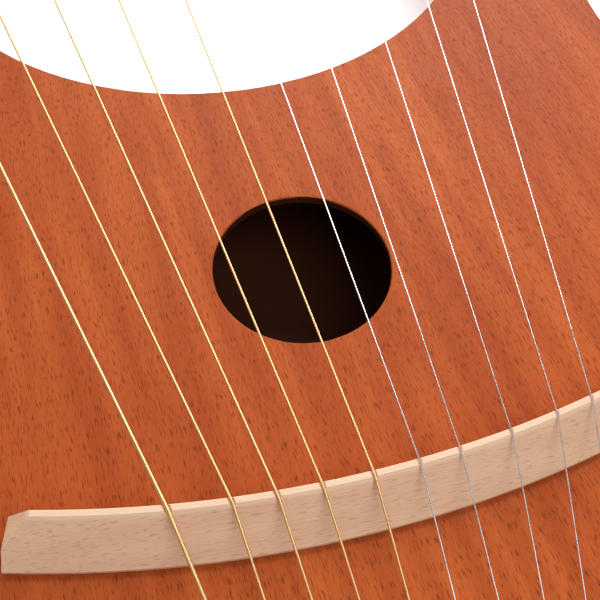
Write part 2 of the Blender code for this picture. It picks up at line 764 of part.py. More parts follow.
def pin_mesh(place):
    """A tuning pin with its foot at z = 0: turned shaft, square tapered head, and an eye."""
    chamfer = PIN_RADIUS / 4
    head_low = PIN_LENGTH - PIN_HEAD_LENGTH
    shaft = turned(
        "pin_shaft",
        (
            (0.0, head_low),
            (PIN_RADIUS - chamfer, head_low),
            (PIN_RADIUS, head_low - chamfer),
            (PIN_RADIUS, 2 * chamfer),
            (PIN_RADIUS - chamfer, 0.0),
            (0.0, 0.0),
        ),
        16,
        place,
    )
    overlap = PIN_HEAD_LENGTH / 6
    rounded = PIN_RADIUS * 0.97
    head = turned(
        "pin_head",
        (
            (0.0, PIN_LENGTH),
            (rounded - 2 * chamfer, PIN_LENGTH),
            (rounded, PIN_LENGTH - chamfer),
            (rounded, head_low - overlap),
            (0.0, head_low - overlap),
        ),
        16,
        place,
    )
    work = bmesh.new()
    corner = math.sqrt(0.5)
    bmesh.ops.create_cone(
        work,
        cap_ends=True,
        segments=4,
        radius1=PIN_HEAD_SIDE * corner,
        radius2=(PIN_HEAD_SIDE - PIN_HEAD_TAPER) * corner,
        depth=PIN_HEAD_LENGTH + 4 * overlap,
    )
    middle = head_low + PIN_HEAD_LENGTH / 2
    bmesh.ops.translate(work, vec=(0.0, 0.0, middle), verts=work.verts)
    square_data = bpy.data.meshes.new("pin_square")
    work.to_mesh(square_data)
    work.free()
    square = add_object("pin_square", square_data, place)
    across = Matrix.Translation((0.0, 0.0, PIN_EYE_HEIGHT)) @ Matrix.Rotation(
        math.radians(90.0), 4, "Y"
    )
    reach = 2 * PIN_RADIUS
    eye_profile = (
        (0.0, reach),
        (PIN_EYE_RADIUS, reach),
        (PIN_EYE_RADIUS, -reach),
        (0.0, -reach),
    )
    eye = turned("pin_eye", eye_profile, 10, place, across)
    boolean(head, "INTERSECT", square)
    boolean(shaft, "UNION", head)
    boolean(shaft, "DIFFERENCE", eye)
    mesh = finished_mesh(shaft)
    for helper in (head, square, eye):
        bpy.data.objects.remove(helper)
    mesh.shade_smooth()
    mesh.set_sharp_from_angle(angle=math.radians(35))
    return mesh


def build_string(run, place):
    """One unbroken tube: ball end, tail hole, bridge, nut and the turns on the pin."""
    points, radii = run.route()
    curve = bpy.data.curves.new(f"string_{run.number:02d}", "CURVE")
    curve.dimensions = "3D"
    curve.bevel_depth = run.gauge / 2
    curve.bevel_resolution = 1
    curve.use_fill_caps = True
    spline = curve.splines.new("POLY")
    spline.points.add(len(points) - 1)
    for knot, point, radius in zip(spline.points, points, radii):
        knot.co = (*point, 1.0)
        knot.radius = radius / curve.bevel_depth
    string = add_object(curve.name, curve, place)
    dress(string, run.finish)


def build_pins(runs, place):
    """The ten tuning pins, each on its own axis with its eye where the winding ends."""
    shared = pin_mesh(place)
    for run in runs:
        pin = add_object(f"tuning_pin_{run.number:02d}", shared, place)
        pin.location = (run.pin.x, run.pin.y, run.pin_foot)
        pin.rotation_euler = (0.0, 0.0, math.radians(run.eye_angle))
        if run.number == 1:
            dress(pin, "nickel")


def main():
    clear_scene()
    root = bpy.context.scene.collection
    harp = new_collection("lyre_harp", root)
    cutters = new_collection("cutters", root)
    drills, pin_holes, dowel_holes, bridge_notches, nut_notches = (
        new_collection(name, cutters)
        for name in ("string_drills", "pin_holes", "dowel_holes", "bridge_notch", "nut_notch")
    )
    runs = [StringRun(number, *row) for number, row in enumerate(STRINGS, start=1)]
    for run in runs:
        string_cutters(run, drills, pin_holes, bridge_notches, nut_notches)
    build_dowels(harp, dowel_holes)
    build_plates(harp, drills)
    build_core(harp, cutters, drills, dowel_holes)
    build_braces(harp)
    build_yoke(harp, pin_holes, dowel_holes)
    build_bridge(harp, cutters, bridge_notches)
    build_nut(harp, nut_notches)
    build_pins(runs, harp)
    for run in runs:
        build_string(run, harp)
        gap = least_gap([run.nut] + run.turns(), run.gauge)
        length = (run.nut - run.crown).length
        print(
            f"string {run.number:2d}: sounding length {length * 1000:.1f} mm, least gap between"
            f" turns {gap * 1000:.2f} mm, pin axis ({run.pin.x:.5f}, {run.pin.y:.5f})"
        )


main()
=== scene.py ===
"""Looks of a ten-string lyre harp: mahogany body, beech bridge, bronze and steel strings.

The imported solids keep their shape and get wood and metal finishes. The strings are drawn again
as fine tubes on the same routes, with bead ends and with tips in the eyes of the tuning pins.
"""

import logging
import math
from collections.abc import Iterable, Sequence
from dataclasses import dataclass, replace
from enum import Enum

import bmesh
import bpy
from mathutils import Matrix, Vector

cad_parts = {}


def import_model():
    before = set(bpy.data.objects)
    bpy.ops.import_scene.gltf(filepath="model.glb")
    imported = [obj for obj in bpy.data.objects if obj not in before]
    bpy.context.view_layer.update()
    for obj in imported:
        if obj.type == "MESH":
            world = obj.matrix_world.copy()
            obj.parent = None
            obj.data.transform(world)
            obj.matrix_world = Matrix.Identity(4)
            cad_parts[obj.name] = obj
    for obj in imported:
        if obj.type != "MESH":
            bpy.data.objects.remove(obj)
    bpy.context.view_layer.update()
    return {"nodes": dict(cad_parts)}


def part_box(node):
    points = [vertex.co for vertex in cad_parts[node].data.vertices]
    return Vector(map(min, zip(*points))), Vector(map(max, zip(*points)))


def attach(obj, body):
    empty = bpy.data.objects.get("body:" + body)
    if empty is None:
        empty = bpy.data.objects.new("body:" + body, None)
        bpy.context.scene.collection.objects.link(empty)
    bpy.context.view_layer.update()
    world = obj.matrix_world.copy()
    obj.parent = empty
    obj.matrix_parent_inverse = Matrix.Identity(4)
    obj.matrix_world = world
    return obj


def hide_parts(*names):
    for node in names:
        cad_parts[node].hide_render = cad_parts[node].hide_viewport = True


LOG = logging.getLogger("lyre_harp")
FRAME_BODY = "frame"
MM = 0.001
WELD_DISTANCE = 0.002 * MM

Colour =tuple[float, float, float, float]
Point = tuple[float, float, float]
WHITE: Colour = (1.0, 1.0, 1.0, 1.0)


class Slot(Enum):
    """Material slots of the strings."""

    BRONZE = "bronze"
    STEEL = "steel"


@dataclass(frozen=True)
class Streaks:
    """A layer of marks drawn out along the grain.

    Attributes:
        across: size of a mark across the grain, in millimetres.
        along: size of a mark along the grain, in millimetres.
        detail: octaves of finer noise.
        low: noise up to this leaves no mark.
        high: noise from this on is a full mark.
    """

    across: float
    along: float
    detail: float
    low: float
    high: float


class Shader:
    """A material's node tree, with short calls to add nodes and join them."""

    def __init__(self, name: str) -> None:
        """Starts a material with a Principled surface.

        Args:
            name: the material's name.
        """
        self.material = bpy.data.materials.new(name)
        self.material.use_nodes = True
        self.tree = self.material.node_tree
        self.surface = self.tree.nodes["Principled BSDF"]

    def feed(self, socket: bpy.types.NodeSocket, value: object) -> None:
        """Sets a socket, or joins it to another node's output.

        Args:
            socket: the input that takes the value.
            value: an output socket, or a number, vector or colour.
        """
        if isinstance(value, bpy.types.NodeSocket):
            self.tree.links.new(value, socket)
        else:
            socket.default_value = value

    def add(self, kind: str, inputs: dict | None = None, **settings: object) -> bpy.types.Node:
        """Adds a node.

        Args:
            kind: the node's type, without its Shader prefix.
            inputs: values or outputs for the node's inputs, by name or number.
            settings: the node's own properties.

        Returns:
            The new node.
        """
        node = self.tree.nodes.new("ShaderNode" + kind)
        for key, value in settings.items():
            setattr(node, key, value)
        for key, value in (inputs or {}).items():
            self.feed(node.inputs[key], value)
        return node

    def finish(self, **inputs: object) -> bpy.types.Material:
        """Feeds the surface's inputs.

        Args:
            inputs: values or outputs by the input's name, with underscores for its spaces.

        Returns:
            The material.
        """
        for key, value in inputs.items():
            self.feed(self.surface.inputs[key.replace("_", " ")], value)
        return self.material

    def place(self) -> bpy.types.NodeSocket:
        """Object coordinates, in metres."""
        return self.add("TexCoord").outputs["Object"]

    def facing(self) -> bpy.types.NodeSocket:
        """The way that a face points, in object coordinates."""
        return self.add("TexCoord").outputs["Normal"]

    def upward(self, vector: bpy.types.NodeSocket) -> bpy.types.NodeSocket:
        """The Z part of a vector."""
        return self.add("SeparateXYZ", {"Vector": vector}).outputs["Z"]

    def grain_space(self, lean: float) -> bpy.types.NodeSocket:
        """Object coordinates turned so that the grain runs along Y, counted in millimetres.

        Args:
            lean: how far the grain turns from +Y towards +X, in degrees.

        Returns:
            The coordinates' output.
        """
        turned = self.add(
            "VectorRotate",
            {"Vector": self.place(), "Angle": math.radians(lean)},
            rotation_type="Z_AXIS",
        )
        scale = (1 / MM, 1 / MM, 1 / MM)
        scaled = self.add("VectorMath", {0: turned.outputs[0], 1: scale}, operation="MULTIPLY")
        return scaled.outputs[0]

    def streaks(self, space: bpy.types.NodeSocket, marks: Streaks) -> bpy.types.NodeSocket:
        """Draws a layer of marks along the grain.

        Args:
            space: coordinates in millimetres, with the grain along Y.
            marks: how large the marks are, and which noise shows as one.

        Returns:
            How much of a mark there is, from 0 to 1.
        """
        shrink = (1 / marks.across, 1 / marks.along, 1 / marks.across)
        drawn_out = self.add("VectorMath", {0: space, 1: shrink}, operation="MULTIPLY")
        noise = self.add(
            "TexNoise", {"Vector": drawn_out.outputs[0], "Scale": 1.0, "Detail": marks.detail}
        )
        return self.between(noise.outputs["Fac"], marks.low, marks.high)

    def between(self, value: bpy.types.NodeSocket, low: float, high: float) -> bpy.types.NodeSocket:
        """Maps a value from low..high to 0..1 with soft ends.

        Args:
            value: the value.
            low: where the result starts to rise.
            high: where the result reaches one.

        Returns:
            The result from 0 to 1.
        """
        mapped = self.add(
            "MapRange",
            {"Value": value, "From Min": low, "From Max": high},
            interpolation_type="SMOOTHSTEP",
        )
        return mapped.outputs["Result"]

    def times(self, value: object, factor: object) -> bpy.types.NodeSocket:
        """The product of two values."""
        return self.add("Math", {0: value, 1: factor}, operation="MULTIPLY").outputs[0]

    def opposite(self, share: bpy.types.NodeSocket) -> bpy.types.NodeSocket:
        """One less a share."""
        return self.add("Math", {0: 1.0, 1: share}, operation="SUBTRACT").outputs[0]

    def below(self, value: bpy.types.NodeSocket, limit: float) -> bpy.types.NodeSocket:
        """One where a value is below a limit, and zero elsewhere."""
        return self.add("Math", {0: value, 1: limit}, operation="LESS_THAN").outputs[0]

    def blend(self, share: object, low: object, high: object) -> bpy.types.NodeSocket:
        """Mixes two colours.

        Args:
            share: how much of the second colour there is, from 0 to 1.
            low: the first colour.
            high: the second colour.

        Returns:
            The mixed colour.
        """
        mix = self.add("Mix", data_type="RGBA")
        self.feed(mix.inputs["Factor"], share)
        self.feed(mix.inputs["A"], low)
        self.feed(mix.inputs["B"], high)
        return mix.outputs["Result"]

    def relief(
        self, height: bpy.types.NodeSocket, strength: float, depth: float
    ) -> bpy.types.NodeSocket:
        """A bump from a height.

        Args:
            height: the height from 0 to 1.
            strength: how much of the bump shows.
            depth: the height of 1, in metres.

        Returns:
            The bumped normal.
        """
        bump = self.add("Bump", {"Height": height, "Strength": strength, "Distance": depth})
        return bump.outputs["Normal"]


@dataclass(frozen=True)
class MahoganyFinish:
    """Satin mahogany: soft ribbons, fine fibres and short dark pores along the grain.

    Attributes:
        lean: how far the grain turns from +Y towards +X, in degrees.
        painted_inner_shade: painted shade on the faces that look up into the sound box, for the
            dark inside it, where there are any.
        inner_rise: upward part of a face's normal where the painted shade starts and where it is
            full.
        hole_radius: distance from the sound hole's axis that takes in its wall, which gets painted
            shade, if any.
        wall_rise: upward part of the normal that a wall stays below.
        roughness: roughness between the fibres and on them.
    """

    name: str
    lean: float
    light: Colour = (0.49, 0.105, 0.020, 1.0)
    deep: Colour = (0.30, 0.046, 0.008, 1.0)
    pore_shade: Colour = (0.09, 0.012, 0.004, 1.0)
    ribbons: Streaks = Streaks(5.5, 70.0, 3.0, 0.32, 0.68)
    ribbon_share: float = 0.6
    drift: Streaks = Streaks(34.0, 120.0, 1.0, 0.35, 0.65)
    drift_share: float = 0.5
    fibres: Streaks = Streaks(0.55, 14.0, 3.0, 0.3, 0.7)
    fibre_share: float = 0.28
    pores: Streaks = Streaks(0.26, 2.4, 1.0, 0.585, 0.66)
    pore_share: float = 0.58
    pore_relief: float = 0.3
    pore_depth: float = 0.1 * MM
    roughness: tuple[float, float] = (0.49, 0.61)
    shine: float = 0.10
    painted_inner_shade: Colour | None = None
    inner_rise: tuple[float, float] = (0.6, 0.9)
    hole_radius: float = 0.0
    painted_hole_shade: Colour = (0.045, 0.012, 0.006, 1.0)
    wall_rise: float = 0.35

    def material(self) -> bpy.types.Material:
        """Builds the material.

        Returns:
            The new material.
        """
        shader = Shader(self.name)
        space = shader.grain_space(self.lean)
        fibres = shader.streaks(space, self.fibres)
        pores = shader.streaks(space, self.pores)
        colour = self.light
        for marks, share, shade in (
            (shader.streaks(space, self.ribbons), self.ribbon_share, self.deep),
            (shader.streaks(space, self.drift), self.drift_share, self.deep),
            (fibres, self.fibre_share, self.deep),
            (pores, self.pore_share, self.pore_shade),
        ):
            colour = shader.blend(shader.times(marks, share), colour, shade)
        # Painted shade: faces that look up into the sound box are darkened for the dark inside it.
        if self.painted_inner_shade:
            inner = shader.between(shader.upward(shader.facing()), *self.inner_rise)
            colour = shader.blend(inner, colour, self.painted_inner_shade)
        # Painted shade: the sound hole's upright wall is darkened for the shadow that falls on it.
        if self.hole_radius:
            colour = shader.blend(self.hole_wall_shade_mask(shader), colour, self.painted_hole_shade)
        low, high = self.roughness
        roughness = shader.add("MapRange", {"Value": fibres, "To Min": low, "To Max": high})
        return shader.finish(
            Base_Color=colour,
            Roughness=roughness.outputs["Result"],
            Normal=shader.relief(shader.opposite(pores), self.pore_relief, self.pore_depth),
            Specular_IOR_Level=self.shine,
        )

    def hole_wall_shade_mask(self, shader: Shader) -> bpy.types.NodeSocket:
        """Marks the upright wall of the sound hole, which gets painted shade.

        Args:
            shader: the material's nodes.

        Returns:
            One on the wall and zero elsewhere.
        """
        in_plan = {0: shader.place(), 1: (1.0, 1.0, 0.0)}
        flat = shader.add("VectorMath", in_plan, operation="MULTIPLY").outputs[0]
        radius = shader.add("VectorMath", {0: flat}, operation="LENGTH").outputs["Value"]
        near = shader.below(radius, self.hole_radius)
        steep = shader.below(shader.upward(shader.facing()), self.wall_rise)
        return shader.times(near, steep)


@dataclass(frozen=True)
class PaleWoodFinish:
    """A plain pale wood with short darker flecks along the grain.

    Attributes:
        lean: how far the grain turns from +Y towards +X, in degrees.
        crown_level: height of the piece's top edge, which gets a painted highlight, or zero where
            it has none.
        crown_fade: how far below that the painted highlight starts and where it is full.
    """

    name: str
    lean: float
    light: Colour
    dark: Colour
    fleck_shade: Colour
    flecks: Streaks
    fleck_share: float
    clouds: Streaks = Streaks(4.0, 30.0, 2.0, 0.3, 0.7)
    cloud_share: float = 0.6
    fibres: Streaks = Streaks(0.35, 7.0, 2.0, 0.3, 0.7)
    fibre_share: float = 0.25
    fibre_relief: float = 0.25
    fibre_depth: float = 0.08 * MM
    crown_level: float = 0.0
    crown_fade: tuple[float, float] = (0.9 * MM, 0.4 * MM)
    crown_painted_light: Colour = (0.80, 0.56, 0.39, 1.0)
    crown_light_share: float = 0.75
    roughness: float = 0.55

    def material(self) -> bpy.types.Material:
        """Builds the material, with a painted highlight that makes the crown paler where the finish
        has a crown level.

        Returns:
            The new material.
        """
        shader = Shader(self.name)
        space = shader.grain_space(self.lean)
        fibres = shader.streaks(space, self.fibres)
        colour = self.light
        for marks, share, shade in (
            (shader.streaks(space, self.clouds), self.cloud_share, self.dark),
            (fibres, self.fibre_share, self.dark),
            (shader.streaks(space, self.flecks), self.fleck_share, self.fleck_shade),
        ):
            colour = shader.blend(shader.times(marks, share), colour, shade)
        # Painted highlight: the top edge is painted paler where it catches the light from above.
        if self.crown_level:
            start, full = (self.crown_level - fade for fade in self.crown_fade)
            top = shader.between(shader.upward(shader.place()), start, full)
            colour = shader.blend(shader.times(top, self.crown_light_share), colour, self.crown_painted_light)
        return shader.finish(
            Base_Color=colour,
            Roughness=self.roughness,
            Normal=shader.relief(fibres, self.fibre_relief, self.fibre_depth),
        )


@dataclass(frozen=True)
class WireFinish:
    """Bright wire, plain or wound with a finer wire whose grooves get painted shade.

    Attributes:
        winding_pitch: distance between the turns of the finer wire in millimetres, or zero.
        winding_depth: how deep the grooves are, as a share of the pitch.
    """

    name: str
    colour: Colour
    dark: Colour
    roughness: float
    wear: Streaks = Streaks(0.8, 6.0, 2.0, 0.35, 0.75)
    winding_pitch: float = 0.0
    winding_depth: float = 0.15
    winding_relief: float = 0.5
    groove_shade_share: float = 0.6

    def material(self) -> bpy.types.Material:
        """Builds the material.

        Returns:
            The new material.
        """
        shader = Shader(self.name)
        metal = {"Metallic": 1.0, "Roughness": self.roughness}
        if self.winding_pitch:
            ridges = self.ridges(shader)
            # Painted shade: the grooves between the turns are darkened in the colour.
            grooves = shader.times(shader.opposite(ridges), self.groove_shade_share)
            depth = self.winding_pitch * self.winding_depth * MM
            return shader.finish(
                Base_Color=shader.blend(grooves, self.colour, self.dark),
                Normal=shader.relief(ridges, self.winding_relief, depth),
                **metal,
            )
        wear = shader.streaks(shader.grain_space(0.0), self.wear)
        return shader.finish(Base_Color=shader.blend(wear, self.colour, self.dark), **metal)

    def ridges(self, shader: Shader) -> bpy.types.NodeSocket:
        """Draws the turns of the finer wire by the length that the tube stores along itself.

        Args:
            shader: the material's nodes.

        Returns:
            One on the ridges and zero in the grooves.
        """
        run = shader.add("Attribute", attribute_name="run").outputs["Fac"]
        turns = shader.times(run, 2 * math.pi / self.winding_pitch)
        wave = shader.add("Math", {0: turns}, operation="SINE").outputs[0]
        return shader.between(wave, -1.0, 1.0)


@dataclass(frozen=True)
class PlatedFinish:
    """Nickel plate with faint turning marks."""

    name: str
    colour: Colour = (0.72, 0.70, 0.66, 1.0)
    dark: Colour = (0.42, 0.41, 0.39, 1.0)
    lean: float = 90.0
    marks: Streaks = Streaks(0.12, 6.0, 2.0, 0.3, 0.8)
    mark_share: float = 0.5
    mark_relief: float = 0.15
    mark_depth: float = 0.04 * MM
    roughness: float = 0.26

    def material(self) -> bpy.types.Material:
        """Builds the material.

        Returns:
            The new material.
        """
        shader = Shader(self.name)
        marks = shader.streaks(shader.grain_space(self.lean), self.marks)
        return shader.finish(
            Base_Color=shader.blend(shader.times(marks, self.mark_share), self.colour, self.dark),
            Metallic=1.0,
            Roughness=self.roughness,
            Normal=shader.relief(marks, self.mark_relief, self.mark_depth),
        )


def placed(name: str, work: bmesh.types.BMesh) -> bpy.types.Object:
    """Puts a finished bmesh into the scene as an object, and frees the bmesh.

    Args:
        name: the name of the object and of its mesh.
        work: the bmesh.

    Returns:
        The new object.
    """
    mesh = bpy.data.meshes.new(name)
    work.to_mesh(mesh)
    work.free()
    made = bpy.data.objects.new(name, mesh)
    bpy.context.scene.collection.objects.link(made)
    return made


@dataclass(frozen=True)
class StudioFloor:
    """Pale floor under the harp."""

    half_size: float = 1.6
    cells: int = 4
    level: float = -0.0004
    colour: Colour = (0.92, 0.92, 0.91, 1.0)
    roughness: float = 0.9
    glow: float = 0.32

    def build(self) -> None:
        """Builds the floor and marks it as stage."""
        work = bmesh.new()
        bmesh.ops.create_grid(
            work, x_segments=self.cells, y_segments=self.cells, size=self.half_size
        )
        floor = placed("floor", work)
        floor.location.z = self.level
        floor.data.materials.append(
            Shader("floor").finish(
                Base_Color=self.colour,
                Roughness=self.roughness,
                Emission_Color=WHITE,
                Emission_Strength=self.glow,
            )
        )


def dress_node(node: bpy.types.Object, material: bpy.types.Material, sharp_angle: float) -> None:
    """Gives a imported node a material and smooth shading.

    The node's own vertices stay as they are, since only its modifiers join and split them.

    Args:
        node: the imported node.
        material: its finish.
        sharp_angle: edges that turn more than this stay sharp, in degrees.
    """
    mesh = node.data
    mesh.materials.clear()
    mesh.materials.append(material)
    normals = mesh.attributes.get("custom_normal")
    if normals:
        mesh.attributes.remove(normals)
    mesh.shade_smooth()
    join = node.modifiers.new("weld", "WELD")
    join.merge_threshold = WELD_DISTANCE
    split = node.modifiers.new("sharp", "EDGE_SPLIT")
    split.split_angle = math.radians(sharp_angle)
    LOG.info("%s: %s", node.name, material.name)


@dataclass(frozen=True)
class Soundbox:
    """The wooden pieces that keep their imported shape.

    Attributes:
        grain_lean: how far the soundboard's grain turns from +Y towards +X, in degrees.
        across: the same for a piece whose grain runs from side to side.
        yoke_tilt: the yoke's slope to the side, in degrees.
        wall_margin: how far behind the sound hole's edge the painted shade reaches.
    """

    grain_lean: float = -5.0
    across: float = 90.0
    yoke_tilt: float = -9.6
    sound_hole_radius: float = 0.020
    wall_margin: float = 0.2 * MM
    sharp_angle: float = 14.0

    def mahogany(self) -> dict[str, MahoganyFinish]:
        """Sets the mahogany finishes, by their use.

        Returns:
            The finishes of the soundboard, the back, the core blocks in a darker copy that is
            painted shade, and the yoke.
        """
        return {
            "plate": MahoganyFinish(
                "mahogany_plate",
                self.grain_lean,
                # The sound hole's wall gets painted shade.
                hole_radius=self.sound_hole_radius + self.wall_margin,
            ),
            # The back's upward inner faces get painted shade for the dark inside the sound box.
            "back": MahoganyFinish("mahogany_back", 0.0, painted_inner_shade=(0.055, 0.016, 0.007, 1.0)),
            # Painted shade: the sides and blocks take a darker copy of the mahogany for the dark
            # inside the box.
            "core": MahoganyFinish(
                "mahogany_core", 0.0, light=(0.36, 0.085, 0.03, 1.0), deep=(0.24, 0.045, 0.016, 1.0)
            ),
            "yoke": MahoganyFinish("mahogany_yoke", self.yoke_tilt + self.across),
        }

    def pale_woods(self) -> dict[str, PaleWoodFinish]:
        """Sets the pale finishes, by their use.

        Returns:
            The finishes of the bridge, the other beech pieces and the spruce braces.
        """
        beech = PaleWoodFinish(
            "beech",
            self.yoke_tilt + self.across,
            light=(0.74, 0.465, 0.295, 1.0),
            dark=(0.66, 0.385, 0.235, 1.0),
            fleck_shade=(0.40, 0.20, 0.11, 1.0),
            flecks=Streaks(0.30, 2.2, 0.5, 0.63, 0.70),
            fleck_share=0.4,
        )
        # The bridge's top edge gets a painted highlight.
        bridge = replace(
            beech, name="beech_bridge", lean=self.across, crown_level=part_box("bridge")[1].z
        )
        spruce = PaleWoodFinish(
            "spruce",
            self.across,
            light=(0.72, 0.53, 0.31, 1.0),
            dark=(0.60, 0.40, 0.21, 1.0),
            fleck_shade=(0.45, 0.26, 0.12, 1.0),
            flecks=Streaks(0.8, 40.0, 0.5, 0.63, 0.70),
            fleck_share=0.5,
        )
        return {"bridge": bridge, "beech": beech, "spruce": spruce}

    def uses(self) -> dict[str, Sequence[str]]:
        """Names the nodes that take each finish.

        Returns:
            The nodes' names by use.
        """
        dowels = [f"{side}_dowel_{number}" for side in ("bass", "treble") for number in (1, 2)]
        return {
            "plate": ["soundboard"],
            "back": ["back_plate"],
            "core": ["bass_side", "treble_side", "tail_block", "shoulder_block"],
            "yoke": ["yoke"],
            "bridge": ["bridge"],
            "beech": ["nut", "bridge_plate", *dowels],
            "spruce": ["upper_brace", "lower_brace", "back_brace"],
        }

    def dress(self, nodes: dict[str, bpy.types.Object]) -> None:
        """Gives every wooden node its finish.

        Args:
            nodes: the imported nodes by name.
        """
        finishes = self.mahogany() | self.pale_woods()
        for use, names in self.uses().items():
            material = finishes[use].material()
            for name in names:
                dress_node(nodes[name], material, self.sharp_angle)


@dataclass(frozen=True)
class PinRow:
    """The ten tuning pins."""

    count: int = 10
    sharp_angle: float = 35.0

    def dress(self, nodes: dict[str, bpy.types.Object]) -> None:
        """Gives the pins their plating.

        Args:
            nodes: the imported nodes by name.
        """
        plate = PlatedFinish("nickel").material()
        for number in range(1, self.count + 1):
            dress_node(nodes[f"tuning_pin_{number:02d}"], plate, self.sharp_angle)


def heading(angle: float) -> Vector:
    """Unit vector in the plan along this angle, in degrees from +X."""
    return Vector((math.cos(math.radians(angle)), math.sin(math.radians(angle)), 0.0))


def eased(points: Sequence[Vector], reach: float, steps: int = 4) -> list[Vector]:
    """Rounds the corners of a route.

    Args:
        points: the route's corners.
        reach: how far from a corner its rounding starts.
        steps: stretches in each rounded corner.

    Returns:
        The route with rounded corners.
    """
    route = [points[0]]
    for before, corner, after in zip(points, points[1:], points[2:]):
        start = corner + (before - corner).normalized() * reach
        end = corner + (after - corner).normalized() * reach
        for step in range(steps + 1):
            t = step / steps
            route.append(start.lerp(corner, t).lerp(corner.lerp(end, t), t))
    return route + [points[-1]]


def tube(
    name: str, route: Sequence[Vector], radius: float, sides: int, sharp_angle: float = 50.0
) -> bpy.types.Object:
    """Builds a closed round tube that stores the length along it in the attribute run.

    Args:
        name: the piece's name.
        route: the points of its centreline.
        radius: the tube's radius.
        sides: how many sides it has.
        sharp_angle: edges that turn more than this stay sharp, in degrees.

    Returns:
        The new object. Its attribute run counts in millimetres.
    """
    work = bmesh.new()
    layer = work.verts.layers.float.new("run")
    side = (route[1] - route[0]).orthogonal().normalized()
    rings = []
    run = 0.0
    for index, point in enumerate(route):
        before = route[max(index - 1, 0)]
        after = route[min(index + 1, len(route) - 1)]
        run += (point - before).length / MM
        way = (after - before).normalized()
        side = (side - way * side.dot(way)).normalized()
        other = way.cross(side)
        ring = []
        for step in range(sides):
            angle = 2 * math.pi * step / sides
            outward = side * math.cos(angle) + other * math.sin(angle)
            vert = work.verts.new(point + outward * radius)
            vert[layer] = run
            ring.append(vert)
        rings.append(ring)
    for lower, upper in zip(rings, rings[1:]):
        for step in range(sides):
            following = (step + 1) % sides
            work.faces.new((lower[step], lower[following], upper[following], upper[step]))
    work.faces.new(list(reversed(rings[0])))
    work.faces.new(rings[-1])
    made = placed(name, work)
    made.data.shade_smooth()
    made.data.set_sharp_from_angle(angle=math.radians(sharp_angle))
    return made


@dataclass(frozen=True)
class StringLine:
    """One string: its gauge, its place across the bridge and along the nut, and its slot."""

    number: int
    gauge: float
    bridge_x: float
    nut_place: float
    slot: Slot


@dataclass(frozen=True)
class Stations:
    """The places that one string passes, from its seat in the tail, and the way down its hole."""

    seat: Vector
    entry: Vector
    crown: Vector
    nut: Vector
    drill: Vector


@dataclass(frozen=True)
class Winding:
    """The turns of one string on its pin, the middle of the pin's eye, and the eye's angle."""

    points: list[Vector]
    eye: Vector
    eye_angle: float


